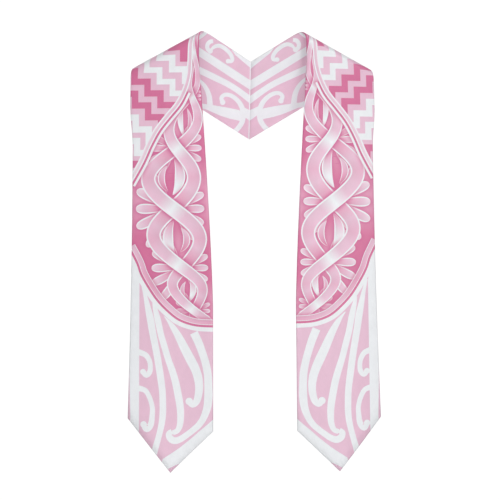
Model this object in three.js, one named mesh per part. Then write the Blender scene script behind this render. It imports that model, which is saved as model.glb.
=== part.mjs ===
// Graduation stole: a two-layer satin sash that lies over both shoulders, in millimetres and degrees.
// The origin is midway between the two shoulder folds. +Z is up, the front panels hang on the -Y side,
// and the centre back seam is on the plane x = 0, on the +Y side.
//
// Each half is one strip. It is cut flat and then bent about lines parallel to its shoulder fold, so
// every length on the cloth keeps its size. A point of the flat strip is (across, up): across is its
// distance from the middle of the wearer, up its height, both as they are before the cloth is bent.
import * as THREE from 'three';

// Flat cut of one half
const neckHalf = 79.5;            // middle of the wearer to the neck edge at the shoulder and back
const shoulderHalf = 185.5;       // middle of the wearer to the outer edge at the shoulder and back
const hemInnerHalf = 57.8;        // middle of the wearer to the inner corner of the hem
const hemOuterHalf = 187.2;       // middle of the wearer to the outer corner of the hem
const innerCornerDrop = 595;      // shoulder level down to the inner corner of the hem
const outerCornerDrop = 575;      // shoulder level down to the outer corner of the hem
const tipDrop = 657;              // shoulder level down to the point of the hem
const neckCurveStart = 20;        // shoulder level down to where the inner edge leaves the neck line
const neckCurveLength = 390;      // height over which the inner edge sweeps in
const neckCurvePower = 1.3;       // how early that sweep happens
const waistStart = 95;            // shoulder level down to where the outer edge starts to draw in
const waistLength = 65;           // height over which it draws in
const waistInset = 4.1;           // how far it draws in above the flare to the hem

// The form it hangs in
const foldHalf = 138;             // middle of the wearer to the origin of each shoulder fold
const foldSlope = 28.9;           // rise of the shoulder fold towards the neck
const foldRadius = 15;            // radius of the fold over the shoulder
const frontLeanTop = 11;          // front panel from the vertical just under the fold
const frontLeanLow = 6.4;         // front panel from the vertical below the chest
const frontLeanRadius = 1500;     // radius of the slow bend from one lean to the other
const backLean = 21;              // back band from the vertical
const rippleDepth = 2.2;          // depth of the soft waves at the hem
const rippleTurns = 1.15;         // waves across one panel

// Cloth
const faceThickness = 1.0;        // printed outer layer
const liningThickness = 1.0;      // layer behind it
const layerGap = 0.3;             // clearance between the two layers
const seamGap = 0.3;              // clearance between the halves at the centre back

// Mesh density
const columns = 8;                // even, so that the point of the hem falls on a column
const backRows = 7;
const foldRows = 12;
const frontRows = 34;

const materials = {
  face: new THREE.MeshStandardMaterial({ color: 0xe9b4cc, roughness: 0.45, metalness: 0 }),
  lining: new THREE.MeshStandardMaterial({ color: 0xf0d3df, roughness: 0.5, metalness: 0 }),
};

const radians = THREE.MathUtils.degToRad;
const mix = THREE.MathUtils.lerp;
const sinSlope = Math.sin(radians(foldSlope));
const cosSlope = Math.cos(radians(foldSlope));

// Lengths of cloth round each side of the fold, and through the slow bend of the front
const frontArc = foldRadius * (Math.PI / 2 - radians(frontLeanTop));
const backArc = foldRadius * (Math.PI / 2 - radians(backLean));
const frontBend = frontLeanRadius * radians(frontLeanTop - frontLeanLow);

// Edges of the flat strip at a height above shoulder level
function innerEdge(up) {
  const share = THREE.MathUtils.clamp((-up - neckCurveStart) / neckCurveLength, 0, 1);
  return mix(hemInnerHalf, neckHalf, (1 - share) ** neckCurvePower);
}

function outerEdge(up) {
  const drawnIn = THREE.MathUtils.smoothstep(-up, waistStart, waistStart + waistLength);
  const flareStart = waistStart + waistLength;
  const flare = Math.max((-up - flareStart) / (outerCornerDrop - flareStart), 0);
  return shoulderHalf - waistInset * drawnIn + (hemOuterHalf - shoulderHalf + waistInset) * flare ** 2;
}

// Flat strip to the cylinder frame: along the fold towards the neck, and down the front from the fold
function toFold(across, up) {
  const out = across - foldHalf;
  return { along: up * sinSlope - out * cosSlope, down: -up * cosSlope - out * sinSlope };
}

// Height at which a straight line parallel to the fold crosses a vertical edge of the strip
function upAtEdge(across, down) {
  return -(down + (across - foldHalf) * sinSlope) / cosSlope;
}

// Section square to the fold: height and depth of the outer surface, and its outward direction,
// at a distance down the front (positive) or down the back (negative)
function section(down) {
  if (down <= 0) {
    const turn = Math.min(-down, backArc) / foldRadius;
    const rest = Math.max(-down - backArc, 0);
    return {
      high: -foldRadius * (1 - Math.cos(turn)) - rest * Math.cos(radians(backLean)),
      deep: foldRadius * Math.sin(turn) + rest * Math.sin(radians(backLean)),
      normalHigh: Math.cos(turn),
      normalDeep: Math.sin(turn),
    };
  }
  const turn = Math.min(down, frontArc) / foldRadius;
  const bent = Math.min(Math.max(down - frontArc, 0), frontBend);
  const lean = radians(frontLeanTop) - bent / frontLeanRadius;
  const rest = Math.max(down - frontArc - frontBend, 0);
  const bendHigh = frontLeanRadius * (Math.sin(radians(frontLeanTop)) - Math.sin(lean));
  const bendDeep = frontLeanRadius * (Math.cos(lean) - Math.cos(radians(frontLeanTop)));
  const onArc = down <= frontArc;
  return {
    high: -foldRadius * (1 - Math.cos(turn)) - bendHigh - rest * Math.cos(radians(frontLeanLow)),
    deep: -foldRadius * Math.sin(turn) - bendDeep - rest * Math.sin(radians(frontLeanLow)),
    normalHigh: onArc ? Math.cos(turn) : Math.sin(lean),
    normalDeep: onArc ? -Math.sin(turn) : -Math.cos(lean),
  };
}

// Soft upright waves of a front panel, which grow towards the hem
function ripple(columnShare, down) {
  const grown = THREE.MathUtils.smoothstep(down, frontArc + frontBend, tipDrop);
  return rippleDepth * grown * Math.sin(2 * Math.PI * rippleTurns * (columnShare - 0.5));
}

// A point of the right half, a given depth under its outer surface
function place(along, down, depth, columnShare) {
  const at = section(down);
  const high = at.high - depth * at.normalHigh;
  const deep = at.deep - depth * at.normalDeep;
  return new THREE.Vector3(
    foldHalf - along * cosSlope + high * sinSlope,
    deep - ripple(columnShare, down),
    along * sinSlope + high * cosSlope,
  );
}

// Rows of the strip from the back seam to the hem, each a function of the share across it
function stripRows() {
  const rows = [];
  const foldRow = (down) => (share) => {
    const across = mix(neckHalf, shoulderHalf, share);
    return toFold(across, upAtEdge(across, down));
  };
  // The seam crosses the back band on the plane x = 0
  const seamDown = (across) => {
    const slant = Math.cos(radians(backLean));
    const straightStart = section(-backArc).high + backArc * slant;
    return -(across + straightStart * sinSlope) / ((1 + slant) * sinSlope);
  };
  for (let row = 0; row <= backRows; row += 1) {
    rows.push((share) => {
      const across = mix(neckHalf, shoulderHalf, share);
      const down = mix(seamDown(across), -backArc, row / backRows);
      return { ...toFold(across, upAtEdge(across, down)), atSeam: row === 0 };
    });
  }
  for (let row = 1; row <= foldRows; row += 1) {
    rows.push(foldRow(mix(-backArc, frontArc, row / foldRows)));
  }
  for (let row = 1; row <= frontRows; row += 1) {
    const lowered = row / frontRows;
    const innerUp = mix(upAtEdge(neckHalf, frontArc), -innerCornerDrop, lowered);
    const outerUp = mix(upAtEdge(shoulderHalf, frontArc), -outerCornerDrop, lowered);
    const pointDrop = (tipDrop - (innerCornerDrop + outerCornerDrop) / 2) * lowered;
    rows.push((share) => {
      const up = mix(innerUp, outerUp, share) - pointDrop * (1 - Math.abs(2 * share - 1));
      const across = mix(innerEdge(innerUp), outerEdge(outerUp), share);
      return toFold(across, up);
    });
  }
  return rows;
}

// One closed layer between two depths under the outer surface
function layerGeometry(top, bottom) {
  const rows = stripRows();
  const positions = [];
  for (const depth of [top, bottom]) {
    for (const row of rows) {
      for (let column = 0; column <= columns; column += 1) {
        const share = column / columns;
        const flat = row(share);
        const point = place(flat.along, flat.down, depth, share);
        if (flat.atSeam) {
          // Slid along the fold's direction on to the seam's plane
          const slide = (point.x - seamGap / 2) / cosSlope;
          point.x = seamGap / 2;
          point.z += slide * sinSlope;
        }
        positions.push(point.x, point.y, point.z);
      }
    }
  }
  const width = columns + 1;
  const layer = rows.length * width;
  const indices = [];
  const quad = (a, b, c, d) => indices.push(a, b, c, a, c, d);
  for (let row = 0; row < rows.length - 1; row += 1) {
    for (let column = 0; column < columns; column += 1) {
      const corner = row * width + column;
      quad(corner, corner + width, corner + width + 1, corner + 1);
      quad(layer + corner, layer + corner + 1, layer + corner + width + 1, layer + corner + width);
    }
    const inner = row * width;
    const outer = inner + columns;
    quad(inner, layer + inner, layer + inner + width, inner + width);
    quad(outer, outer + width, layer + outer + width, layer + outer);
  }
  const last = (rows.length - 1) * width;
  for (let column = 0; column < columns; column += 1) {
    quad(column, column + 1, layer + column + 1, layer + column);
    quad(last + column, layer + last + column, layer + last + column + 1, last + column + 1);
  }
  const geometry = new THREE.BufferGeometry();
  geometry.setAttribute('position', new THREE.Float32BufferAttribute(positions, 3));
  geometry.setIndex(indices);
  geometry.computeVertexNormals();
  return geometry;
}

// The same geometry on the other side of the plane x = 0, with its faces turned to point out
function mirrored(geometry) {
  const copy = geometry.clone();
  copy.scale(-1, 1, 1);
  const index = copy.getIndex();
  for (let corner = 0; corner < index.count; corner += 3) {
    const second = index.getX(corner + 1);
    index.setX(corner + 1, index.getX(corner + 2));
    index.setX(corner + 2, second);
  }
  copy.computeVertexNormals();
  return copy;
}

function namedMesh(name, geometry, material) {
  const mesh = new THREE.Mesh(geometry, material);
  mesh.name = name;
  return mesh;
}

const face = layerGeometry(0, faceThickness);
const liningTop = faceThickness + layerGap;
const lining = layerGeometry(liningTop, liningTop + liningThickness);

const stole = new THREE.Group();
stole.add(namedMesh('right_face', face, materials.face));
stole.add(namedMesh('right_lining', lining, materials.lining));
stole.add(namedMesh('left_face', mirrored(face), materials.face));
stole.add(namedMesh('left_lining', mirrored(lining), materials.lining));

export default stole;
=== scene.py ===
# Graduation stole in printed satin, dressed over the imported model.
# Flat sizes are millimetres on the uncut cloth: across is the distance from the middle of the wearer,
# up is the height above shoulder level, both before the cloth is bent over the shoulder.
# They repeat the driving dimensions of the model. Everything that Blender holds is in metres.
import math

import bpy
import numpy as np
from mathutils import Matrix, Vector
from mathutils.geometry import delaunay_2d_cdt


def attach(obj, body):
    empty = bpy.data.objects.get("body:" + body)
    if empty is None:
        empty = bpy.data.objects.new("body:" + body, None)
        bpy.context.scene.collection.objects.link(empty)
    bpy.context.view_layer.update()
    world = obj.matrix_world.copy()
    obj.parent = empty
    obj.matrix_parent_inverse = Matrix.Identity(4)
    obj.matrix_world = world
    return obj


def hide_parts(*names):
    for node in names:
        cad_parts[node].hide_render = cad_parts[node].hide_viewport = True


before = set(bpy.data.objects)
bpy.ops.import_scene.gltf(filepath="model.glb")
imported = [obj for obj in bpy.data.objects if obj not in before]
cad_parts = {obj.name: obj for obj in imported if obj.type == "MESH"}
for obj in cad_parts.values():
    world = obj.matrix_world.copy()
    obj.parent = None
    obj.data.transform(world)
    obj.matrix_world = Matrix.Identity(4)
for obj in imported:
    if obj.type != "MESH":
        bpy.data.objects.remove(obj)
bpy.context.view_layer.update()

MM = 0.001

# Flat cut of one half, as in the model
NECK_HALF = 79.5
SHOULDER_HALF = 185.5
HEM_INNER_HALF = 57.8
HEM_OUTER_HALF = 187.2
INNER_CORNER_DROP = 595.0
OUTER_CORNER_DROP = 575.0
TIP_DROP = 657.0
NECK_CURVE_START = 20.0
NECK_CURVE_LENGTH = 390.0
NECK_CURVE_POWER = 1.3
WAIST_START = 95.0
WAIST_LENGTH = 65.0
WAIST_INSET = 4.1

# The form it hangs in, as in the model
FOLD_HALF = 138.0
FOLD_SLOPE = math.radians(28.9)
FOLD_RADIUS = 15.0
FRONT_LEAN_TOP = math.radians(11.0)
FRONT_LEAN_LOW = math.radians(6.4)
FRONT_LEAN_RADIUS = 1500.0
BACK_LEAN = math.radians(21.0)
RIPPLE_DEPTH = 2.2
RIPPLE_TURNS = 1.15

# Cloth layers, as in the model
FACE_THICKNESS = 1.0
LINING_THICKNESS = 1.0
LAYER_GAP = 0.3
SEAM_GAP = 0.3

SIN_SLOPE = math.sin(FOLD_SLOPE)
COS_SLOPE = math.cos(FOLD_SLOPE)
FRONT_ARC = FOLD_RADIUS * (math.pi / 2 - FRONT_LEAN_TOP)
BACK_ARC = FOLD_RADIUS * (math.pi / 2 - BACK_LEAN)
FRONT_BEND = FRONT_LEAN_RADIUS * (FRONT_LEAN_TOP - FRONT_LEAN_LOW)

# Turned edges and fine shape of the satin
EDGE_ROUND = 1.3
EDGE_ROLL = 6.0
EDGE_ROLL_TILT = math.radians(16)
HEM_ROLL = 13.0
HEM_ROLL_TILT = math.radians(36)
HEM_ROLL_ABOVE = 25.0
SEAM_ROLL = 10.0
SEAM_ROLL_FROM = (-14.0, -11.0)
ROLL_POWER = 1.2
EDGE_LOOPS = (0.25, 0.6, 1.3, 2.6, 4.2, 7.0, 10.0)
PUCKER_DEPTH = 0.16
PUCKER_LENGTH = 13.0
PUCKER_REACH = 6.0
PUCKER_START = 3.0
WAVE_DEPTH = 0.35
CALM_FOLD = (10.0, 60.0)
STEEPEST = 0.16
SLOPE_STEP = 0.05

# Soft waves in the cloth: lengths in millimetres and amounts, for waves along the panel and slanting ones
WAVE = {"across": 19.0, "sway": 1.4, "sway_up": 83.0, "fade_up": 61.0, "phase": 0.8}
SLANT_WAVE = {"share": 0.6, "across": 31.0, "up": 47.0, "sway": 0.7, "sway_up": 39.0}
PUCKER_SWAY = {"amount": 1.9, "length": 37.0}

# Spacing of the mesh's own points over plain cloth, over shaded print and round the fold
PLAIN_STEP = 7.0
SHADED_STEP = 2.6
FOLD_STEP = 1.6
LINE_STEP = 1.6
FOLD_STEP_ACROSS = 4.0
FOLD_ZONE = 36.0
SHADED_ZONE = 30.0
EDGE_CLEAR = 1.0
MERGE_WITHIN = 1e-4
ROW_SHARE = 0.87
SIDE_POINTS = 420
SEAM_POINTS = 56
HEM_POINTS = 46

# Printed shadow beside an area that lies over others: its reach, how far away it is looked for, and the
# shares of an open-ended band's length between which it fades in
SHADOW_REACH = 3.6
SHADOW_MARGIN = 12.0
SHADOW_FADE = (0.1, 0.35)

# The most light that a print gives back
BRIGHTEST = 0.93


def smoothstep(value, low, high):
    share = np.clip((value - low) / (high - low), 0.0, 1.0)
    return share * share * (3.0 - 2.0 * share)


# Colours of the print, given as they look on screen and kept as linear light

def screen(red, green, blue):
    level = np.array([red, green, blue]) / 255.0
    return np.where(level <= 0.04045, level / 12.92, ((level + 0.055) / 1.055) ** 2.4)


WHITE = screen(234, 236, 239)
PALE = screen(232, 213, 223)
LIGHT = screen(227, 188, 208)
MIDDLE = screen(222, 156, 185)
DEEP = screen(211, 112, 153)
SHADOW_TINT = screen(205, 98, 146)


# The cut of one half

def inner_edge(up):
    share = np.clip((-up - NECK_CURVE_START) / NECK_CURVE_LENGTH, 0.0, 1.0)
    return HEM_INNER_HALF + (NECK_HALF - HEM_INNER_HALF) * (1.0 - share) ** NECK_CURVE_POWER


def outer_edge(up):
    flare_start = WAIST_START + WAIST_LENGTH
    drawn_in = smoothstep(-up, WAIST_START, flare_start)
    flare = np.maximum((-up - flare_start) / (OUTER_CORNER_DROP - flare_start), 0.0)
    return SHOULDER_HALF - WAIST_INSET * drawn_in + (HEM_OUTER_HALF - SHOULDER_HALF + WAIST_INSET) * flare**2


def up_at_edge(across, down):
    return -(down + (across - FOLD_HALF) * SIN_SLOPE) / COS_SLOPE


def seam_up(across):
    """Height at which the centre back seam crosses the flat strip."""
    slant = math.cos(BACK_LEAN)
    straight_start = -FOLD_RADIUS * (1.0 - math.cos(BACK_ARC / FOLD_RADIUS)) + BACK_ARC * slant
    down = -(across + straight_start * SIN_SLOPE) / ((1.0 + slant) * SIN_SLOPE)
    return up_at_edge(across, down)


def strip_outline():
    """The flat strip's edge as one loop, from the hem's inner corner up the inner side and round."""
    inner_ups = np.linspace(-INNER_CORNER_DROP, seam_up(NECK_HALF), SIDE_POINTS)
    outer_ups = np.linspace(seam_up(SHOULDER_HALF), -OUTER_CORNER_DROP, SIDE_POINTS)
    seam_across = np.linspace(NECK_HALF, SHOULDER_HALF, SEAM_POINTS)[1:-1]
    tip = np.array([(HEM_INNER_HALF + HEM_OUTER_HALF) / 2, -TIP_DROP])
    outer_corner = np.array([HEM_OUTER_HALF, -OUTER_CORNER_DROP])
    inner_corner = np.array([HEM_INNER_HALF, -INNER_CORNER_DROP])
    shares = np.linspace(0.0, 1.0, HEM_POINTS)[:, None]
    return np.vstack([
        np.column_stack([inner_edge(inner_ups), inner_ups]),
        np.column_stack([seam_across, seam_up(seam_across)]),
        np.column_stack([outer_edge(outer_ups), outer_ups]),
        (outer_corner + (tip - outer_corner) * shares)[1:],
        (tip + (inner_corner - tip) * shares)[1:-1],
    ])


# Flat cloth to its place on the right half

def section(down):
    """Height, depth and outward direction of the outer surface, square to the fold."""
    back = down <= 0
    back_turn = np.minimum(-down, BACK_ARC) / FOLD_RADIUS
    back_rest = np.maximum(-down - BACK_ARC, 0.0)
    front_turn = np.minimum(down, FRONT_ARC) / FOLD_RADIUS
    bent = np.clip(down - FRONT_ARC, 0.0, FRONT_BEND)
    lean = FRONT_LEAN_TOP - bent / FRONT_LEAN_RADIUS
    front_rest = np.maximum(down - FRONT_ARC - FRONT_BEND, 0.0)
    bend_high = FRONT_LEAN_RADIUS * (math.sin(FRONT_LEAN_TOP) - np.sin(lean))
    bend_deep = FRONT_LEAN_RADIUS * (np.cos(lean) - math.cos(FRONT_LEAN_TOP))
    turn = np.where(back, back_turn, front_turn)
    sign = np.where(back, 1.0, -1.0)
    front_fall = bend_high + front_rest * math.cos(FRONT_LEAN_LOW)
    front_reach = -bend_deep - front_rest * math.sin(FRONT_LEAN_LOW)
    high = -FOLD_RADIUS * (1.0 - np.cos(turn)) - np.where(back, back_rest * math.cos(BACK_LEAN), front_fall)
    deep = sign * FOLD_RADIUS * np.sin(turn) + np.where(back, back_rest * math.sin(BACK_LEAN), front_reach)
    past_arc = down > FRONT_ARC
    normal_high = np.where(past_arc, np.sin(lean), np.cos(turn))
    normal_deep = np.where(past_arc, -np.cos(lean), sign * np.sin(turn))
    return high, deep, normal_high, normal_deep


def place(flat, depth):
    """Points of the right half in millimetres, each a depth under the outer surface."""
    across, up = flat[:, 0], flat[:, 1]
    out = across - FOLD_HALF
    along = up * SIN_SLOPE - out * COS_SLOPE
    down = -up * COS_SLOPE - out * SIN_SLOPE
    high, deep, normal_high, normal_deep = section(down)
    high = high - depth * normal_high
    deep = deep - depth * normal_deep
    share = (across - inner_edge(up)) / (outer_edge(up) - inner_edge(up))
    grown = smoothstep(down, FRONT_ARC + FRONT_BEND, TIP_DROP)
    deep = deep - RIPPLE_DEPTH * grown * np.sin(2 * math.pi * RIPPLE_TURNS * (share - 0.5))
    side = FOLD_HALF - along * COS_SLOPE + high * SIN_SLOPE
    rise = along * SIN_SLOPE + high * COS_SLOPE
    over = np.minimum(side - SEAM_GAP / 2, 0.0)
    return np.column_stack([side - over, deep, rise + over / COS_SLOPE * SIN_SLOPE])


# Lines and areas of the print

def smooth_curve(rows, step=LINE_STEP):
    """A curve through rows of (across, up, width), sampled about every step."""
    rows = np.array(rows, float)
    ends = np.vstack([2 * rows[0] - rows[1], rows, 2 * rows[-1] - rows[-2]])
    pieces = []
    for first, second, third, fourth in zip(ends, ends[1:], ends[2:], ends[3:]):
        count = max(int(np.linalg.norm((third - second)[:2]) / step), 1)
        t = np.arange(count)[:, None] / count
        pieces.append(0.5 * (
            2 * second + (third - first) * t
            + (2 * first - 5 * second + 4 * third - fourth) * t**2
            + (3 * second - first - 3 * third + fourth) * t**3
        ))
    return np.vstack(pieces + [rows[-1:]])


def side_normals(points):
    ahead = np.gradient(points, axis=0)
    ahead /= np.maximum(np.linalg.norm(ahead, axis=1, keepdims=True), 1e-9)
    return np.column_stack([-ahead[:, 1], ahead[:, 0]])


def band_outline(curve, normals=None):
    """The closed outline of a curve of (across, up, width)."""
    points, half = curve[:, :2], curve[:, 2:3] / 2
    if normals is None:
        normals = side_normals(points)
    return np.vstack([points + normals * half, (points - normals * half)[::-1]])


def beside(rows, distance, width):
    """A band of one width that runs a distance to the left of a line of (across, up)."""
    curve = smooth_curve([(p[0], p[1], width) for p in rows])
    curve[:, :2] += side_normals(curve[:, :2]) * distance
    return curve


def disc_outline(centre, radius, sides=22):
    turn = np.linspace(0, 2 * math.pi, sides, endpoint=False)
    return np.column_stack([centre[0] + radius * np.cos(turn), centre[1] + radius * np.sin(turn)])


def inside(points, outline):
    """Which points lie inside a closed outline."""
    found = np.zeros(len(points), bool)
    low, high = outline.min(0), outline.max(0)
    near = np.nonzero(((points >= low) & (points <= high)).all(1))[0]
    x, y = points[near, 0], points[near, 1]
    odd = np.zeros(len(near), bool)
    for (x1, y1), (x2, y2) in zip(outline, np.roll(outline, -1, axis=0)):
        if y1 != y2:
            odd ^= ((y1 > y) != (y2 > y)) & (x < x1 + (y - y1) * (x2 - x1) / (y2 - y1))
    found[near] = odd
    return found


def nearest_on(points, line, closed=False):
    """Distance to a line, and the length along it and the side (1 left, -1 right) of the nearest place."""
    ends = np.roll(line, -1, axis=0) if closed else line[1:]
    starts = line if closed else line[:-1]
    best = np.full(len(points), 1e9)
    length = np.zeros(len(points))
    side = np.ones(len(points))
    passed = 0.0
    for start, end in zip(starts, ends):
        span = end - start
        size = max(float(np.hypot(*span)), 1e-9)
        offset = points - start
        share = np.clip(offset @ span / size**2, 0.0, 1.0)
        away = offset - share[:, None] * span
        distance = np.hypot(away[:, 0], away[:, 1])
        closer = distance < best
        best[closer] = distance[closer]
        length[closer] = passed + share[closer] * size
        side[closer] = np.sign(span[0] * away[closer, 1] - span[1] * away[closer, 0])
        passed += size
    return best, length, side


class Patch:
    """One printed area: its outline or test, its colours, the shadow that it casts and lines for the mesh."""

    def __init__(self, outline, paint, shadow=0.0, guides=(), test=None, within=None, spine=None):
        self.outline = None if outline is None else np.asarray(outline, float)
        self.paint = paint
        self.shadow = shadow
        self.guides = [np.asarray(g, float) for g in guides]
        self.test = test
        self.within = within
        self.spine = spine

    def covers(self, points):
        if self.test is not None:
            return self.test(points)
        covered = inside(points, self.outline)
        return covered if self.within is None else covered & inside(points, self.within)

    def shade(self, points):
        """Strength of its shadow, which fades out at the ends of a spine."""
        distance = nearest_on(points, self.outline, closed=True)[0]
        amount = self.shadow * np.exp(-(distance / SHADOW_REACH) ** 2)
        if self.spine is None:
            return amount
        length = nearest_on(points, self.spine)[1]
        whole = np.hypot(*np.diff(self.spine, axis=0).T).sum()
        start, end = SHADOW_FADE
        fade_in = smoothstep(length, start * whole, end * whole)
        fade_out = smoothstep(-length, -(1 - start) * whole, -(1 - end) * whole)
        return amount * fade_in * fade_out

    def lines(self):
        loops = [] if self.outline is None else [np.vstack([self.outline, self.outline[:1]])]
        return loops + self.guides


def plain(colour):
    return lambda points: np.tile(colour, (len(points), 1))


def ramp(stops, value):
    """Colour at a value from stops of (value, colour)."""
    places = [s[0] for s in stops]
    return np.column_stack([np.interp(value, places, [s[1][c] for s in stops]) for c in range(3)])


def stroke(rows, bulb=0.0):
    """A white stroke with an optional round end."""
    curve = smooth_curve(rows)
    patches = [Patch(band_outline(curve), plain(WHITE))]
    if bulb:
        patches.append(Patch(disc_outline(curve[-1, :2], bulb), plain(WHITE)))
    return patches


def shaded_band(curve, along, lean, within, normals):
    """A band coloured along its length by stops from 0 to 1, and lighter towards one of its sides."""
    points = curve[:, :2]
    half = curve[:, 2] / 2
    if normals is None:
        normals = side_normals(points)
    measure = np.concatenate([[0], np.cumsum(np.hypot(*np.diff(points, axis=0).T))])

    def paint(at):
        distance, length, side = nearest_on(at, points)
        place_across = side * distance / np.maximum(np.interp(length, measure, half), 0.1)
        lit = (1.0 + lean * place_across)[:, None]
        return np.clip(ramp(along, length / measure[-1]) * lit, 0.0, BRIGHTEST)

    guides = [points + normals * half[:, None] * share for share in (-0.5, 0.0, 0.5)]
    return Patch(band_outline(curve, normals), paint, guides=guides, within=within)


# Where the print sits on each half, in millimetres: how far it is drawn up the panel at three heights, and
# how far its steps, stems and back scrolls are moved

LIFT_AT = (-500.0, -440.0, 0.0)
LEFT_HALF = {"lift": (0.0, 0.0, 0.0), "steps_up": 0.0, "stems_out": 0.0, "back_up": 0.0}
RIGHT_HALF = {"lift": (0.0, 6.0, 20.0), "steps_up": 27.0, "stems_out": 2.2, "back_up": -6.0}


def lift(up, half):
    return float(np.interp(up, LIFT_AT, half["lift"]))


def lifted(rows, half, out=0.0):
    """Rows of (across, up, ...) drawn up the panel as on one half, and moved outward."""
    return [(across + out, up + lift(up, half), *width) for across, up, *width in rows]


# Stepped diagonal stripes of the shoulders

STEP_ACROSS = 20.2
STEP_UP = 18.7
STEP_CORNER = (154.0, -71.0)
# Colour of the cloth up to each distance from the stripes' own corner line
STEP_STOPS = [(-112.0, WHITE), (-102.0, LIGHT), (-92.0, DEEP), (-84.0, LIGHT), (-74.0, WHITE), (-66.0, LIGHT),
              (-45.0, DEEP), (-38.0, LIGHT), (-28.0, WHITE), (-18.0, LIGHT), (-9.0, WHITE), (0.0, LIGHT),
              (10.0, DEEP), (19.0, LIGHT), (29.0, DEEP), (38.0, LIGHT), (48.0, WHITE), (56.0, LIGHT),
              (66.0, WHITE), (73.0, LIGHT), (84.0, DEEP), (300.0, LIGHT)]
STEP_COUNT = range(-14, 9)
SHOULDER_PRINT_DOWN = -6.0
SHOULDER_PRINT_UP = -250.0
PRINT_LOW = (40.0, SHOULDER_PRINT_UP - 20.0)
PRINT_HIGH = (215.0, 130.0)
PAST_EDGE = 10.0


def step_offset(points, rise):
    """Distance of points outward from the stepped corner line."""
    across = points[:, 0] - STEP_CORNER[0]
    drop = STEP_CORNER[1] + rise - points[:, 1]
    offsets = [np.maximum(across - STEP_ACROSS * n, drop + STEP_UP * n) for n in STEP_COUNT]
    return np.min(offsets, axis=0)


def step_line(offset, rise):
    line = []
    for n in STEP_COUNT:
        x = STEP_CORNER[0] + STEP_ACROSS * n + offset
        y = STEP_CORNER[1] + rise + STEP_UP * n - offset
        line += [(x, y), (x, y + STEP_UP)]
    line = np.array(line)
    return line[((line > PRINT_LOW) & (line < PRINT_HIGH)).all(1)]


def down_of(points):
    return -points[:, 1] * COS_SLOPE - (points[:, 0] - FOLD_HALF) * SIN_SLOPE


def shoulder_steps(rise):
    """The stripes, raised by an amount, from just behind the fold down to the chest."""
    def test(points):
        return (down_of(points) > SHOULDER_PRINT_DOWN) & (points[:, 1] > SHOULDER_PRINT_UP)

    def paint(points):
        centres = points.reshape(-1, 3, 2).mean(1).repeat(3, axis=0)
        chosen = np.searchsorted([s[0] for s in STEP_STOPS], step_offset(centres, rise))
        return np.array([s[1] for s in STEP_STOPS])[chosen]

    ends = np.array([NECK_HALF - PAST_EDGE, SHOULDER_HALF + PAST_EDGE])
    border = np.column_stack([ends, up_at_edge(ends, SHOULDER_PRINT_DOWN)])
    foot = np.column_stack([ends, np.full(2, SHOULDER_PRINT_UP)])
    guides = [step_line(s[0], rise) for s in STEP_STOPS[:-1]] + [border, foot]
    return Patch(None, paint, guides=guides, test=test)


# Scrolls of the foot of each front panel: across, up, width

FOOT_STROKES = {
    "upper_hook": ([(174, -474, 9.4), (161, -479, 8.3), (155, -487, 7.7), (153, -496, 7.5), (154, -505, 7.9),
                    (159, -510, 8.3), (164, -505, 8.2)], 4.5),
    "lower_hook": ([(174, -529, 9.5), (161, -533, 7.8), (154, -544, 7.4), (150, -558, 7.4), (150, -570, 8),
                    (152, -584, 9.2), (158, -591, 9.8), (163, -584, 9.2)], 4.9),
    "outer_stem": ([(166, -372, 3), (161, -390, 6), (157, -408, 9), (153, -426, 11), (150, -444, 10.6),
                    (146, -464, 10.5), (142, -485, 10.5), (138, -510, 10.6), (135, -532, 10.2),
                    (134, -550, 10.1), (134, -569, 9.9), (136, -585, 9.4), (140, -602, 9),
                    (149, -634, 9.8)], 0),
    "middle_stem": ([(149, -398, 3), (146, -410, 7), (142, -426, 9.5), (137, -449, 9.5), (132, -466, 9.8),
                     (126, -486, 9.8), (120, -503, 10.4), (115, -520, 11), (111, -539, 11.2),
                     (108, -556, 11.1), (107, -571, 10.4), (108, -585, 9.4), (112, -594, 8),
                     (119, -597, 7.4)], 0),
    "inner_stem": ([(132, -421, 1), (126, -428, 4), (120, -436, 8), (113, -447, 10.4), (106, -460, 12.4),
                    (99, -474, 13.6), (91, -489, 14.2), (85, -501, 13.6), (81, -513, 13.2), (79, -527, 12.2),
                    (80, -540, 11.4), (83, -550, 10.4), (89, -555, 9.2), (94, -550, 9.4)], 5.6),
    "edge_stem": ([(87, -446, 12.6), (80, -461, 12.4), (74, -477, 11.8), (69, -493, 11.8),
                   (66, -509, 12), (65, -527, 12.2), (65, -544, 12.8), (67, -560, 11.8), (73, -576, 10.2),
                   (80, -586, 9.6), (89, -594, 9.2), (97, -600, 9.2), (106, -606, 9.5), (115, -609, 10.4),
                   (122, -606, 10.4), (125, -599, 9), (120, -595, 8.2)], 0),
}
OUTER_BAND = [(187, -330), (186, -440), (184.6, -520), (183.2, -570), (183, -620), (170, -620), (170, -366),
              (175, -330)]
FOOT_BAND = [(50, -569), (60, -579), (69, -587), (80, -596), (90, -605), (100, -613), (109, -620),
             (118, -626), (134, -636), (140, -660), (126, -651), (113, -645), (50, -625)]


def foot_scrolls(half):
    patches = [Patch(outline, plain(WHITE)) for outline in (OUTER_BAND, FOOT_BAND)]
    for rows, bulb in FOOT_STROKES.values():
        patches += stroke(lifted(rows, half, half["stems_out"]), bulb=bulb)
    return patches


# Scrolls of the back neck: across, up, width

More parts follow.
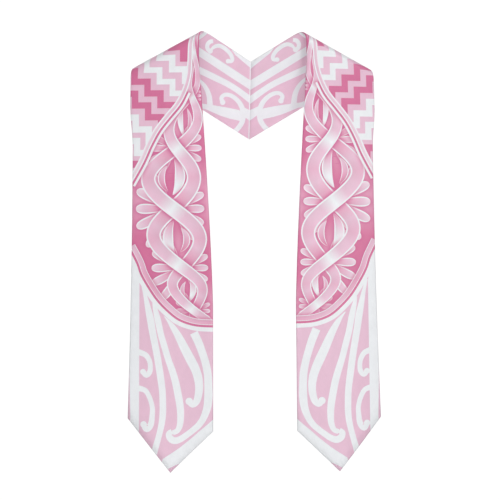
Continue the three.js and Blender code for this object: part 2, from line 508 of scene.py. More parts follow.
BACK_STROKES = {
    "ridge_wedge": ([(74, 44, 9), (88, 41, 8.4), (100, 36, 6), (107, 29, 3)], 0),
    "upper_bar": ([(110, 20, 11), (111, 57, 12), (111, 81, 12.6), (111, 111, 13), (111, 134, 13),
                   (111, 170, 13)], 0),
    "lower_bar": ([(138, 20, 10), (136, 60, 10.4), (132, 95, 10.4), (129, 124, 9.8), (129, 147, 9.8),
                   (132, 185, 10.6)], 0),
    "top_bud": ([(85, 63, 6), (89, 59, 7), (95, 58.5, 6.8), (100, 62.5, 6.6), (100.5, 68, 7)], 4.2),
    "top_curl": ([(97, 68, 4), (91, 70, 6), (86, 75, 6.6), (84.5, 84, 6.5), (86, 95, 6.4), (90, 103.5, 6.4),
                  (95, 106.5, 6.4), (98.5, 101.5, 6.4)], 3.7),
    "low_hook": ([(188, 176, 8.4), (178, 178, 8.4), (166, 177, 8.6), (154, 170, 8.6), (146, 160, 8),
                  (142, 148, 7.2), (142, 136, 6.9), (146, 128, 6.8), (153, 126, 6.8), (158, 132, 6.8)], 4.4),
    "fold_hook": ([(147, 68, 3), (149, 83, 5), (153, 95, 7), (161, 107, 8.4), (174, 118, 9.6)], 0),
}
BACK_BAND = [(178, 96), (177, 105), (170, 121), (161, 143), (154, 162), (155, 172), (168, 174), (174, 157),
             (178, 141), (182, 114), (190, 96)]
SEAM_BLOCK = [(147, 158), (145, 178), (145, 200), (159, 216), (160, 192), (158, 168)]
NOTCH_STRIP = [(74, 96), (80, 96), (84, 106), (86, 121), (88, 138), (90, 150), (74, 150)]
# Painted highlight on the left lining beside the centre back seam: how far it runs past the strip's sides,
# its points, how far in from the seam it sits, and its width
SEAM_HIGHLIGHT = {"past": 4, "points": 24, "in": 0.9, "width": 2.0}


def seam_highlight():
    """A painted highlight beside the centre back seam: a narrow strip a little brighter than the print's
    white.
    """
    row = SEAM_HIGHLIGHT
    across = np.linspace(NECK_HALF - row["past"], SHOULDER_HALF + row["past"], row["points"])
    curve = np.column_stack([across, seam_up(across) - row["in"], np.full(row["points"], row["width"])])
    return Patch(band_outline(curve), plain(np.minimum(WHITE * 1.08, BRIGHTEST)))


def moved_up(rows, amount):
    return [(across, up + amount, *width) for across, up, *width in rows]


def back_scrolls(moved=0.0):
    """The back neck's scrolls, slid along the cloth, and the block beside the seam."""
    outlines = [moved_up(BACK_BAND, moved), SEAM_BLOCK, moved_up(NOTCH_STRIP, moved)]
    patches = [Patch(outline, plain(WHITE)) for outline in outlines]
    for rows, bulb in BACK_STROKES.values():
        patches += stroke(moved_up(rows, moved), bulb=bulb)
    return patches


# Plaited ribbons and leaves of each front panel, a plain made-up figure

FIELD_TOP = [(91, 60), (93, 25), (96, 0), (97, -26), (99, -49), (105, -70), (115, -90), (131, -110),
             (147, -131), (160, -155), (172, -182), (190, -215)]
FIELD_INNER = 40.0
FIELD_RIM = [(192, -318), (180, -341), (173, -360), (161, -381), (148, -400), (133, -416), (116, -430),
             (98, -438), (78, -442), (48, -443)]

# Soft light and dark of the field: lengths in millimetres
POCKETS = {"across": 17.0, "across_phase": 1.3, "up": 29.0, "up_phase": 0.4}

# Bands along the field's edges: distance outward from its line, and width
TOP_BANDS = {"edge": (-3.5, 8.0), "ground": (-8.0, 11.0), "line": (-12.5, 3.5)}
RIM_BANDS = {"edge": (-1.5, 6.5), "ground": (-8.0, 17.0), "line": (-12.5, 8.5)}
TOP_LINE_START = 5
TOP_EDGE_STOPS = [(0.0, PALE), (0.4, LIGHT), (1.0, PALE)]
RIM_LINE_STOPS = [(0.0, LIGHT), (0.35, MIDDLE), (0.6, LIGHT), (1.0, MIDDLE)]
TOP_EDGE_BODY = 0.5

# Strength of the shadows in the field
OVER_SHADOW = 0.9
UNDER_SHADOW = 0.7
GROUND_SHADOW = 0.5
LINE_SHADOW = 0.3

# Where the two ribbons cross and where they part, from top to bottom, and how far leaves reach beside the
# crossings that have them
PLAIT = [
    {"up": 62, "middle": 87, "swing": 3, "ribbon": 6},
    {"up": 26, "middle": 87, "swing": 3, "ribbon": 6},
    {"up": -14, "middle": 87, "swing": 4, "ribbon": 7},
    {"up": -48, "middle": 87, "swing": 6, "ribbon": 8},
    {"up": -80, "middle": 91, "swing": 12, "ribbon": 10, "outer_leaf": 15, "inner_leaf": 12},
    {"up": -117, "middle": 101, "swing": 20, "ribbon": 15},
    {"up": -162, "middle": 114, "swing": 29, "ribbon": 19, "outer_leaf": 35, "inner_leaf": 33},
    {"up": -207, "middle": 122, "swing": 35, "ribbon": 22},
    {"up": -256, "middle": 119, "swing": 37, "ribbon": 23, "outer_leaf": 50, "inner_leaf": 41},
    {"up": -302, "middle": 113, "swing": 35, "ribbon": 22},
    {"up": -347, "middle": 104, "swing": 28, "ribbon": 19, "outer_leaf": 42, "inner_leaf": 33},
    {"up": -380, "middle": 96, "swing": 22, "ribbon": 16},
    {"up": -413, "middle": 86, "swing": 16, "ribbon": 13, "outer_leaf": 25, "inner_leaf": 20},
    {"up": -436, "middle": 70, "swing": 11, "ribbon": 11},
]
RIBBON_BODY = 0.8
RIBBON_LEAN = 0.05

# Leaves: fewest points of a line, width at their ends, shares of the width inside the white edge, the
# powers that shape them, and the strength of their shadow
LEAF_POINTS = 12
THINNEST = 0.3
LEAF_BODY = 0.72
CRESCENT_BODY = 0.74
LEAF_SWELL = 0.6
LEAF_TIP = 5
CRESCENT_SWELL = 0.8
LEAF_SHADOW = 0.6

TURNING = (LIGHT + MIDDLE) / 2
OVER_STOPS = [(0.0, TURNING), (0.18, LIGHT), (0.32, LIGHT), (0.5, WHITE), (0.68, LIGHT), (0.82, LIGHT),
              (1.0, TURNING)]
UNDER_STOPS = [(0.0, TURNING), (0.18, LIGHT), (0.38, MIDDLE), (0.5, DEEP), (0.62, MIDDLE), (0.82, LIGHT),
               (1.0, TURNING)]
LEAF_STOPS = [(0.0, DEEP), (0.35, MIDDLE), (0.75, LIGHT), (1.0, PALE)]
PALE_LEAF_STOPS = [(0.0, MIDDLE), (0.3, LIGHT), (0.7, WHITE), (1.0, WHITE)]

# The two crescents in the gap between crossings: ends as shares of the room beside and above its middle,
# bow and width as shares of the room beside it
GAP_LEAVES = [
    {"from": (0.2, 1.0), "to": (0.1, -0.95), "bow": 0.42, "width": 0.66, "stops": PALE_LEAF_STOPS},
    {"from": (-0.2, -0.75), "to": (-0.25, 0.6), "bow": 0.4, "width": 0.44, "stops": LEAF_STOPS},
]
GAP_END = 0.8

# Leaves of a spray beside a crossing: direction from level, length and width as shares of its reach, and bow
SPRAY = [
    {"turn": 60, "length": 1.34, "width": 0.42, "bow": 0.1},
    {"turn": -60, "length": 1.34, "width": 0.42, "bow": -0.1},
    {"turn": 30, "length": 1.13, "width": 0.42, "bow": 0.04},
    {"turn": -30, "length": 1.13, "width": 0.42, "bow": -0.04},
    {"turn": 0, "length": 1.0, "width": 0.42, "bow": 0.0},
]
SPRAY_BASE = 0.3


def field_outline(half):
    top, rim = [smooth_curve([(*p, 0) for p in lifted(rows, half)])[:, :2] for rows in (FIELD_TOP, FIELD_RIM)]
    return np.vstack([top, rim, [(FIELD_INNER, rim[-1, 1]), (FIELD_INNER, top[0, 1])]])


def field_paint(points):
    row = POCKETS
    waves = np.sin(points[:, 0] / row["across"] + row["across_phase"])
    pockets = 0.5 + 0.5 * waves * np.sin(points[:, 1] / row["up"] + row["up_phase"])
    return ramp([(0.0, DEEP), (0.3, DEEP), (1.0, MIDDLE)], pockets)


def edged_band(curve, along, shadow, within, body=RIBBON_BODY, normals=None, open_ended=False):
    """A shaded band with a crisp white edge on both sides."""
    spine = curve[:, :2] if open_ended else None
    return [
        Patch(band_outline(curve, normals), plain(WHITE), shadow, within=within, spine=spine),
        shaded_band(curve * [1.0, 1.0, body], along, RIBBON_LEAN, within, normals),
    ]


def leaf(base, tip, bow, width, stops, within, pointed=False):
    """A leaf with a white edge, bowed sideways, that widens to a round tip or is pointed at both ends."""
    base, tip = np.array(base, float), np.array(tip, float)
    span = tip - base
    across = np.array([-span[1], span[0]]) / np.hypot(*span)
    count = max(int(np.hypot(*span) / LINE_STEP), LEAF_POINTS)
    if pointed:
        share = np.linspace(0, 1, count)[:, None]
        body = width * np.sin(math.pi * share) ** CRESCENT_SWELL + THINNEST
    else:
        share = np.sin(np.linspace(0, math.pi / 2, count))[:, None]
        body = width * share ** LEAF_SWELL * np.sqrt(np.maximum(1 - share ** LEAF_TIP, 0)) + THINNEST
    spine = base + span * share + across * bow * 4 * share * (1 - share)
    inner = CRESCENT_BODY if pointed else LEAF_BODY
    return edged_band(np.column_stack([spine, body]), stops, LEAF_SHADOW, within, body=inner)


def strand(plait, first_side):
    """One ribbon of the plait, cut into a length for each crossing, with the directions square to it."""
    rows = [(n, row["up"], row["middle"], row["swing"], row["ribbon"]) for n, row in enumerate(plait)]
    track = smooth_curve(rows)
    phase, up, middle, swing, ribbon = track.T
    curve = np.column_stack([middle + first_side * swing * np.sin(phase * math.pi / 2), up, ribbon])
    normals = side_normals(curve[:, :2])
    partings = [int(np.argmin(np.abs(up - row["up"]))) for row in plait[1::2]]
    return [(curve[a:b + 1], normals[a:b + 1]) for a, b in zip(partings, partings[1:])]


def eye_leaves(row, above, below, flip, within):
    """A broad and a slim crescent in the gap between two crossings."""
    room = row["swing"] - row["ribbon"] / 2
    tall = (above["up"] - below["up"]) / 2 - row["ribbon"] * GAP_END
    patches = []
    for shape in GAP_LEAVES:
        base, tip = [(row["middle"] + flip * room * beside_it, row["up"] + tall * above_it)
                     for beside_it, above_it in (shape["from"], shape["to"])]
        bow = flip * room * shape["bow"]
        patches += leaf(base, tip, bow, room * shape["width"], shape["stops"], within, pointed=True)
    return patches


def spray(base, way, reach, within):
    """Leaves that spread from a crossing to one side."""
    patches = []
    for row in SPRAY:
        turn = math.radians(row["turn"])
        length = row["length"] * reach
        tip = (base[0] + way * length * math.cos(turn), base[1] + length * math.sin(turn))
        patches += leaf(base, tip, way * row["bow"] * reach, row["width"] * reach, LEAF_STOPS, within)
    return patches


def woven_figure(half):
    field = field_outline(half)
    patches = [Patch(field, field_paint)]
    top_line = lifted(FIELD_TOP, half)
    rim_line = lifted(FIELD_RIM, half)
    top = beside(top_line, *TOP_BANDS["edge"])
    inner_top = beside(top_line[TOP_LINE_START:], *TOP_BANDS["line"])
    top_ground = beside(top_line[TOP_LINE_START:], *TOP_BANDS["ground"])
    rim = beside(rim_line, *RIM_BANDS["edge"])
    rim_ground = beside(rim_line, *RIM_BANDS["ground"])
    inner_rim = beside(rim_line, *RIM_BANDS["line"])
    plait = [{**row, "up": row["up"] + lift(row["up"], half)} for row in PLAIT]
    for row in plait:
        for way, leaves in ((1, "outer_leaf"), (-1, "inner_leaf")):
            if leaves in row:
                base = (row["middle"] + way * row["ribbon"] * SPRAY_BASE, row["up"])
                patches += spray(base, way, row[leaves], field)
    for number in range(5, len(plait) - 1, 2):
        flip = 1 if number % 4 == 1 else -1
        patches += eye_leaves(plait[number], plait[number - 1], plait[number + 1], flip, field)
    for number, (first, second) in enumerate(zip(strand(plait, 1), strand(plait, -1))):
        under, over = (first, second) if number % 2 else (second, first)
        patches += edged_band(under[0], UNDER_STOPS, UNDER_SHADOW, field, normals=under[1], open_ended=True)
        patches += edged_band(over[0], OVER_STOPS, OVER_SHADOW, field, normals=over[1], open_ended=True)
    patches.append(Patch(band_outline(top_ground), plain(DEEP), GROUND_SHADOW, within=field))
    patches.append(Patch(band_outline(inner_top), plain(WHITE), LINE_SHADOW, within=field))
    patches.append(Patch(band_outline(rim_ground), plain(DEEP), GROUND_SHADOW, within=field))
    patches += edged_band(inner_rim, RIM_LINE_STOPS, LINE_SHADOW, field)
    patches += edged_band(top, TOP_EDGE_STOPS, 0.0, None, body=TOP_EDGE_BODY)
    patches.append(Patch(band_outline(rim), plain(WHITE)))
    return patches


# Flat prints of the two layers

def ground():
    return Patch(None, plain(LIGHT), test=lambda points: np.ones(len(points), bool))


def face_print(half):
    return [
        ground(), *back_scrolls(), *foot_scrolls(half), shoulder_steps(half["steps_up"]), *woven_figure(half),
    ]


# Long lines of the lining down the front: across, up, width
LINING_STROKES = {
    "outer_line": [(110, 24, 11), (112, -40, 10), (122, -140, 8.5), (134, -240, 8), (142, -320, 5),
                   (146, -372, 1)],
    "inner_line": [(138, 24, 10), (146, -40, 9), (156, -140, 8), (164, -240, 7), (166, -300, 4),
                   (166, -345, 1)],
    "neck_line": [(86, 10, 5), (88, -60, 9), (98, -160, 9), (112, -260, 8), (123, -340, 5), (128, -398, 1)],
    "inside_line": [(74, -120, 2), (74, -200, 7), (82, -290, 9), (90, -370, 11), (92, -420, 12),
                    (87, -446, 12.6)],
}


def lining_print(half):
    long_lines = []
    for rows in LINING_STROKES.values():
        long_lines += stroke(rows)
    return [ground(), *back_scrolls(half["back_up"]), *foot_scrolls(LEFT_HALF), *long_lines]


# Mesh of one layer

# The print map is the flat cut, one unit a metre, with its nought at this place
CUT_CORNER = (0.0, -700.0)
CUT_SPAN = 1000.0


def inset_loop(outline, distance):
    """The outline moved inward. It runs clockwise, so inward is to its right."""
    before = outline - np.roll(outline, 1, axis=0)
    after = np.roll(outline, -1, axis=0) - outline
    before /= np.hypot(*before.T)[:, None]
    after /= np.hypot(*after.T)[:, None]
    right_before = np.column_stack([before[:, 1], -before[:, 0]])
    right_after = np.column_stack([after[:, 1], -after[:, 0]])
    mitre = right_before + right_after
    mitre /= (1 + (right_before * right_after).sum(1))[:, None]
    return outline + mitre * distance


def staggered_grid(outline, step):
    low, high = outline.min(0), outline.max(0)
    across = np.arange(low[0], high[0], step)
    up = np.arange(low[1], high[1], step * ROW_SHARE)
    return np.array([(x + (row % 2) * step / 2, y) for row, y in enumerate(up) for x in across])


def field_points(outline, field):
    """The mesh's own points: close over the fold and over a shaded field, wide over plain cloth."""
    low, high = outline.min(0), outline.max(0)
    wide = staggered_grid(outline, PLAIN_STEP)
    wide = wide[np.abs(down_of(wide)) > FOLD_ZONE]
    points = [wide]
    if field is not None:
        close = staggered_grid(outline, SHADED_STEP)
        beside_fold = np.abs(down_of(close)) > SHADED_ZONE
        points = [wide[~inside(wide, field)], close[inside(close, field) & beside_fold]]
    downs = np.arange(-FOLD_ZONE, FOLD_ZONE, FOLD_STEP)
    for number, down in enumerate(downs):
        across = np.arange(low[0] + (number % 2) * FOLD_STEP_ACROSS / 2, high[0], FOLD_STEP_ACROSS)
        points.append(np.column_stack([across, up_at_edge(across, down)]))
    points = np.vstack(points)
    points = points[inside(points, outline)]
    distance = nearest_on(points, outline, closed=True)[0]
    return points[distance > EDGE_LOOPS[-1] + EDGE_CLEAR]


def triangulate(outline, patches, field):
    """Flat points and triangles that follow the outline and every line of the print."""
    loops = [outline] + [inset_loop(outline, d) for d in EDGE_LOOPS]
    points = []
    edges = []

    def add(line, closed):
        first = len(points)
        points.extend(map(tuple, line))
        count = len(line)
        edges.extend((first + i, first + i + 1) for i in range(count - 1))
        if closed:
            edges.append((first + count - 1, first))

    for loop in loops:
        add(loop, True)
    for patch in patches:
        for line in patch.lines():
            add(line, False)
    points.extend(map(tuple, field_points(outline, field)))
    result = delaunay_2d_cdt([Vector(p) for p in points], edges, [], 0, MERGE_WITHIN, False)
    flat = np.array([tuple(v) for v in result[0]])
    triangles = np.array([f for f in result[2] if len(f) == 3])
    centres = flat[triangles].mean(1)
    kept = inside(centres, outline)
    used, renumbered = np.unique(triangles[kept], return_inverse=True)
    return flat[used], renumbered.reshape(-1, 3)


def paint_triangles(flat, triangles, patches):
    """Colour of every triangle corner."""
    centres = flat[triangles].mean(1)
    owner = np.zeros(len(triangles), int)
    for number, patch in enumerate(patches):
        owner[patch.covers(centres)] = number
    colours = np.zeros((len(triangles), 3, 3))
    for number, patch in enumerate(patches):
        own = owner == number
        if own.any():
            colours[own] = patch.paint(flat[triangles[own]].reshape(-1, 2)).reshape(-1, 3, 3)
    for number, patch in enumerate(patches):
        if patch.shadow:
            low, high = patch.outline.min(0) - SHADOW_MARGIN, patch.outline.max(0) + SHADOW_MARGIN
            near = np.nonzero((owner < number) & ((centres > low) & (centres < high)).all(1))[0]
            if patch.within is not None:
                near = near[inside(centres[near], patch.within)]
            amount = patch.shade(flat[triangles[near]].reshape(-1, 2)).reshape(-1, 3, 1)
            colours[near] += (np.minimum(colours[near], SHADOW_TINT) - colours[near]) * amount
    return colours


def fine_height(flat, outline):
    """Soft waves of the cloth and puckers beside its sewn edges, as a height in millimetres."""
    across, up = flat[:, 0], flat[:, 1]
    distance, length, _ = nearest_on(flat, outline, closed=True)
    row = WAVE
    waves = np.sin(across / row["across"] + row["sway"] * np.sin(up / row["sway_up"]))
    waves *= np.sin(up / row["fade_up"] + row["phase"])
    row = SLANT_WAVE
    sway = row["sway"] * np.sin(up / row["sway_up"])
    waves += row["share"] * np.sin(across / row["across"] - up / row["up"] + sway)
    calm = smoothstep(np.abs(down_of(flat)), *CALM_FOLD)
    sway = PUCKER_SWAY["amount"] * np.sin(length / PUCKER_SWAY["length"])
    pucker = np.sin(length * 2 * math.pi / PUCKER_LENGTH + sway)
    pucker *= np.exp(-distance / PUCKER_REACH) * smoothstep(distance, 0.0, PUCKER_START)
    return WAVE_DEPTH * waves * calm + PUCKER_DEPTH * pucker


def tangents(flat, depth):
    """Directions across and up on the placed cloth."""
    depths = np.full(len(flat), depth)
    here = place(flat, depths)
    return [(place(flat + move, depths) - here) / SLOPE_STEP for move in np.eye(2) * SLOPE_STEP]


def slopes(measure, flat, here):
    """How fast a measure of the flat cloth grows across and up from what it is here."""
    return [((measure(flat + move) - here) / SLOPE_STEP)[:, None] for move in np.eye(2) * SLOPE_STEP]


def shape_layer(flat, outline, lining, seam_tilt):
    """Places and directions of the shown surface and of the hidden surface behind it, in millimetres."""
    def edge_distance(points):
        return nearest_on(points, outline, closed=True)[0]

    sign = -1.0 if lining else 1.0
    inner = FACE_THICKNESS + LAYER_GAP if lining else FACE_THICKNESS
    top = inner + LINING_THICKNESS if lining else 0.0
    distance = edge_distance(flat)
    distance[distance < 1e-3] = 0.0
    near = np.clip(1.0 - distance / EDGE_ROUND, 0.0, 1.0)
    round_off = 1.0 - np.sqrt(np.clip(1.0 - near**2, 0.0, 1.0))
    height = fine_height(flat, outline)
    shown = place(flat, top + (inner - top) * round_off - height)
    hidden = place(flat, inner - height)

    side_tangent, up_tangent = tangents(flat, top)
    outward = np.cross(side_tangent, up_tangent)
    outward /= np.linalg.norm(outward, axis=1)[:, None]
    rises = np.clip(slopes(lambda points: fine_height(points, outline), flat, height), -STEEPEST, STEEPEST)
    face_normal = outward - side_tangent * rises[0] - up_tangent * rises[1]
    # Away from the middle of the cloth, in the flat
    ahead, above = slopes(edge_distance, flat, distance)
    away = -(side_tangent * ahead + up_tangent * above)
    on_edge = distance == 0.0
    away[on_edge] = edge_direction(flat, outline, side_tangent, up_tangent)[on_edge]
    away /= np.maximum(np.linalg.norm(away, axis=1), 1e-9)[:, None]
    tilt = np.minimum(np.arcsin(near) + edge_roll(flat, distance, seam_tilt), math.pi / 2)[:, None]
    shown_normal = sign * face_normal * np.cos(tilt) + away * np.sin(tilt)
    shown_normal /= np.linalg.norm(shown_normal, axis=1)[:, None]
    return shown, hidden, shown_normal, -sign * outward


def edge_roll(flat, distance, seam_tilt):
    """Angle by which the cloth turns away beside its edge, which is wider at the hem and at the seam."""
    at_hem = smoothstep(-flat[:, 1], OUTER_CORNER_DROP - HEM_ROLL_ABOVE, OUTER_CORNER_DROP)
    at_seam = smoothstep(flat[:, 1] - seam_up(flat[:, 0]), *SEAM_ROLL_FROM)
    reach = EDGE_ROLL + (HEM_ROLL - EDGE_ROLL) * at_hem + (SEAM_ROLL - EDGE_ROLL) * at_seam
    most = EDGE_ROLL_TILT + (HEM_ROLL_TILT - EDGE_ROLL_TILT) * at_hem + (seam_tilt - EDGE_ROLL_TILT) * at_seam
    return most * np.clip(1 - distance / reach, 0, 1) ** ROLL_POWER


def edge_direction(flat, outline, side_tangent, up_tangent):
    """Direction out of the cloth at points on its outline."""
    ahead = np.roll(outline, -1, axis=0) - outline
    out = np.column_stack([-ahead[:, 1], ahead[:, 0]])
    out /= np.hypot(*out.T)[:, None]
    _, length, _ = nearest_on(flat, outline, closed=True)
    measure = np.concatenate([[0], np.cumsum(np.hypot(*ahead.T))])
    chosen = np.clip(np.searchsorted(measure, length, side="right") - 1, 0, len(outline) - 1)
    return side_tangent * out[chosen, :1] + up_tangent * out[chosen, 1:]


def closed_faces(triangles, count):
    """Triangles of both surfaces, which share the points on the outline, and the points that they don't."""
    directed = {edge for a, b, c in triangles for edge in ((a, b), (b, c), (c, a))}
    border = {end for a, b in directed if (b, a) not in directed for end in (a, b)}
    free = np.array([i for i in range(count) if i not in border])
    twin = np.arange(count)
    twin[free] = count + np.arange(len(free))
    return np.vstack([triangles, twin[triangles[:, ::-1]]]), free


def layer_mesh(name, flat, triangles, colours, shape, lining, left):
    shown, hidden, shown_normal, hidden_normal = shape
    # Flat triangles run anticlockwise seen with across to the right and up upward, as from the front
    turn = slice(None, None, -1 if lining else 1)
    faces, free = closed_faces(triangles[:, turn], len(flat))
    corner_colours = np.concatenate([colours[:, turn], colours[:, turn][:, ::-1]])
    places = np.vstack([shown, hidden[free]]) * MM
    normals = np.vstack([shown_normal, hidden_normal[free]])
    if left:
        places[:, 0] *= -1
        normals[:, 0] *= -1
        faces = faces[:, ::-1]
        corner_colours = corner_colours[:, ::-1]
    mesh = bpy.data.meshes.new(name)
    mesh.from_pydata(places.tolist(), [], faces.tolist())
    mesh.polygons.foreach_set("use_smooth", np.ones(len(faces), bool))
    attribute = mesh.color_attributes.new("print", "FLOAT_COLOR", "CORNER")
    with_alpha = np.ones((len(faces) * 3, 4), np.float32)
    with_alpha[:, :3] = corner_colours.reshape(-1, 3)
    attribute.data.foreach_set("color", with_alpha.ravel())
    cut = mesh.uv_layers.new(name="cut")
    both = np.vstack([flat, flat[free]])
    cut_points = (both[faces.ravel()] - CUT_CORNER) / CUT_SPAN
    cut.data.foreach_set("uv", cut_points.astype(np.float32).ravel())
    mesh.normals_split_custom_set_from_vertices(normals.tolist())
    mesh.update()
    return mesh


# Satin

# Uneven tones of the cloth: turns in a metre across and up, and detail
NOISES = {
    "warp threads": (1400.0, 160.0, 2.0),
    "uneven ink": (90.0, 55.0, 3.0),
    "small creases": (16.0, 9.0, 2.0),
}
TONE = {"From Min": 0.3, "From Max": 0.7, "To Min": 0.955, "To Max": 1.03}
WEAVE = {"Strength": 0.12, "Distance": 0.0002}
CREASE = {"Strength": 0.25, "Distance": 0.004}


def set_inputs(node, values):
    for label, value in values.items():
        node.inputs[label].default_value = value
    return node


def noise(nodes, links, place_at, label):
    """Noise on the flat cut, stretched along the threads."""
    scale_across, scale_up, detail = NOISES[label]
    mapping = set_inputs(nodes.new("ShaderNodeMapping"), {"Scale": (scale_across, scale_up, 1.0)})
    pattern = set_inputs(nodes.new("ShaderNodeTexNoise"), {"Scale": 1.0, "Detail": detail})
    pattern.label = label
    links.new(place_at, mapping.inputs["Vector"])
    links.new(mapping.outputs["Vector"], pattern.inputs["Vector"])
    return pattern.outputs["Fac"]


def satin(name, roughness):
    """Printed satin: the print with faint thread lines, a close weave, soft sheen and small creases."""
    material = bpy.data.materials.new(name)
    material.use_nodes = True
    nodes, links = material.node_tree.nodes, material.node_tree.links
    shader = set_inputs(nodes["Principled BSDF"], {
        "Roughness": roughness, "Specular IOR Level": 0.4, "Sheen Weight": 0.12, "Sheen Roughness": 0.35,
    })
    print_colour = nodes.new("ShaderNodeVertexColor")
    print_colour.layer_name = "print"
    place_at = nodes.new("ShaderNodeTexCoord").outputs["UV"]
    threads, ink, creases = [noise(nodes, links, place_at, label) for label in NOISES]

    mixed = nodes.new("ShaderNodeMath")
    mixed.operation = "ADD"
    half = nodes.new("ShaderNodeMath")
    half.operation = "MULTIPLY"
    half.inputs[1].default_value = 0.5
    tone = set_inputs(nodes.new("ShaderNodeMapRange"), TONE)
    links.new(threads, mixed.inputs[0])
    links.new(ink, mixed.inputs[1])
    links.new(mixed.outputs[0], half.inputs[0])
    links.new(half.outputs[0], tone.inputs["Value"])
    inked = nodes.new("ShaderNodeVectorMath")
    inked.operation = "SCALE"
    links.new(print_colour.outputs["Color"], inked.inputs[0])
    links.new(tone.outputs["Result"], inked.inputs["Scale"])
    links.new(inked.outputs[0], shader.inputs["Base Color"])

    weave = set_inputs(nodes.new("ShaderNodeBump"), WEAVE)
    folds = set_inputs(nodes.new("ShaderNodeBump"), CREASE)
    links.new(threads, weave.inputs["Height"])
    links.new(creases, folds.inputs["Height"])
    links.new(weave.outputs["Normal"], folds.inputs["Normal"])
    links.new(folds.outputs["Normal"], shader.inputs["Normal"])
    return material


def build_layer(side, kind, patches, field, material, seam_tilt):
    """One layer of one half, which rides on the body and stands for its solid."""
    lining = kind == "lining"
    outline = strip_outline()
    flat, triangles = triangulate(outline, patches, field)
    ahead = flat[triangles[:, 1]] - flat[triangles[:, 0]]
    across = flat[triangles[:, 2]] - flat[triangles[:, 0]]
    backwards = ahead[:, 0] * across[:, 1] - ahead[:, 1] * across[:, 0] < 0
    triangles[backwards] = triangles[backwards][:, ::-1]
    colours = paint_triangles(flat, triangles, patches)
    shape = shape_layer(flat, outline, lining, seam_tilt)
    name = f"{side}_{kind}_satin"
    mesh = layer_mesh(name, flat, triangles, colours, shape, lining, side == "left")
    mesh.materials.append(material)
    piece = bpy.data.objects.new(name, mesh)
    bpy.context.collection.objects.link(piece)
    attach(piece, "root")
    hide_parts(f"{side}_{kind}")


# Only the right lining turns under at the seam. The left one has a painted highlight there instead, a strip
# brighter than the print's white.
RIGHT_SEAM_TILT = math.radians(38)

face_material = satin("face_satin", 0.42)
lining_material = satin("lining_satin", 0.46)
for side, half in (("right", RIGHT_HALF), ("left", LEFT_HALF)):
    build_layer(side, "face", face_print(half), field_outline(half), face_material, EDGE_ROLL_TILT)
build_layer("right", "lining", lining_print(RIGHT_HALF), None, lining_material, RIGHT_SEAM_TILT)
# The left lining carries the painted highlight beside the seam
build_layer("left", "lining", [*lining_print(LEFT_HALF), seam_highlight()], None, lining_material, 0.0)


# Floor, light and camera

FLOOR_HEIGHT = -1.45
FLOOR_HALF = 3.8
FLOOR_COLOUR = (0.9, 0.9, 0.9, 1)

# Lights: place, what they point at and size in metres, power in watts, and spread in degrees if narrow
LIGHTS = [
    {"name": "key", "place_at": (1.4, -1.1, 1.9), "aim": (0, 0, -0.2), "size": (1.2, 0.8), "power": 16},
    {"name": "top", "place_at": (-0.4, -0.5, 2.3), "aim": (0, 0, 0), "size": (1.0, 0.8), "power": 8},
    {"name": "fill", "place_at": (-0.3, -2.3, -0.8), "aim": (0, 0, -0.35), "size": (1.6, 1.0), "power": 14},
    {"name": "side", "place_at": (0.6, -2.6, 0.25), "aim": (0, 0, -0.15), "size": (0.2, 0.2), "power": 13},
    {"name": "neck", "place_at": (-0.3, -1.6, -0.9), "aim": (0, 0.06, -0.05), "size": (0.15, 0.15),
     "power": 0.024, "spread": 16},
    {"name": "rear", "place_at": (-0.5, 2.4, 0.3), "aim": (0, 0, -0.2), "size": (1.6, 1.6), "power": 46},
]


def floor():
    mesh = bpy.data.meshes.new("floor")
    corners = [(-1, -1), (1, -1), (1, 1), (-1, 1)]
    mesh.from_pydata([(x * FLOOR_HALF, y * FLOOR_HALF, FLOOR_HEIGHT) for x, y in corners], [], [(0, 1, 2, 3)])
    thing = bpy.data.objects.new("floor", mesh)
    bpy.context.collection.objects.link(thing)
    material = bpy.data.materials.new("pale_floor")
    material.use_nodes = True
    set_inputs(material.node_tree.nodes["Principled BSDF"], {"Base Color": FLOOR_COLOUR, "Roughness": 0.8})
    mesh.materials.append(material)


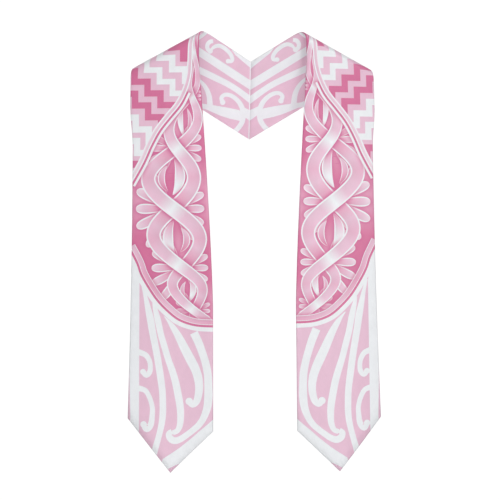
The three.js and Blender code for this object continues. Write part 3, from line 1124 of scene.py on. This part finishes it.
def aimed(data, place_at, aim):
    thing = bpy.data.objects.new(data.name, data)
    thing.location = place_at
    thing.rotation_euler = (Vector(aim) - Vector(place_at)).to_track_quat("-Z", "Y").to_euler()
    bpy.context.collection.objects.link(thing)
    return thing


def area_light(name, place_at, aim, size, power, spread=180):
    light = bpy.data.lights.new(name, "AREA")
    light.spread = math.radians(spread)
    light.shape = "RECTANGLE"
    light.size, light.size_y = size
    light.energy = power
    aimed(light, place_at, aim)


def room_light(shown, cast_bright, cast_dim, bright_from):
    """A room that lights softly, mostly from one direction, and shows as a plain white background."""
    world = bpy.data.worlds.new("room")
    bpy.context.scene.world = world
    world.use_nodes = True
    nodes, links = world.node_tree.nodes, world.node_tree.links
    background = nodes["Background"]
    background.inputs["Color"].default_value = (1, 1, 1, 1)
    direction = nodes.new("ShaderNodeTexCoord")
    towards = nodes.new("ShaderNodeVectorMath")
    towards.operation = "DOT_PRODUCT"
    towards.inputs[1].default_value = Vector(bright_from).normalized()
    cast = set_inputs(nodes.new("ShaderNodeMapRange"), {
        "From Min": -1.0, "From Max": 1.0, "To Min": cast_dim, "To Max": cast_bright,
    })
    seen = nodes.new("ShaderNodeLightPath")
    strength = set_inputs(nodes.new("ShaderNodeMix"), {"B": shown})
    links.new(direction.outputs["Generated"], towards.inputs[0])
    links.new(towards.outputs["Value"], cast.inputs["Value"])
    links.new(cast.outputs["Result"], strength.inputs["A"])
    links.new(seen.outputs["Is Camera Ray"], strength.inputs["Factor"])
    links.new(strength.outputs["Result"], background.inputs["Strength"])


def camera(azimuth, aim, distance, focal):
    data = bpy.data.cameras.new("camera")
    data.lens = focal
    data.clip_end = 50
    turn = math.radians(azimuth)
    place_at = Vector(aim) + distance * Vector((math.sin(turn), -math.cos(turn), 0.0))
    bpy.context.scene.camera = aimed(data, place_at, aim)


floor()
room_light(shown=1.05, cast_bright=0.41, cast_dim=0.24, bright_from=(0.1, -1.0, 0.0))
for light in LIGHTS:
    area_light(**light)
camera(azimuth=-3.4, aim=(-0.0034, 0.0, -0.310), distance=2.4, focal=110.4)
bpy.context.scene.view_settings.view_transform = "Standard"
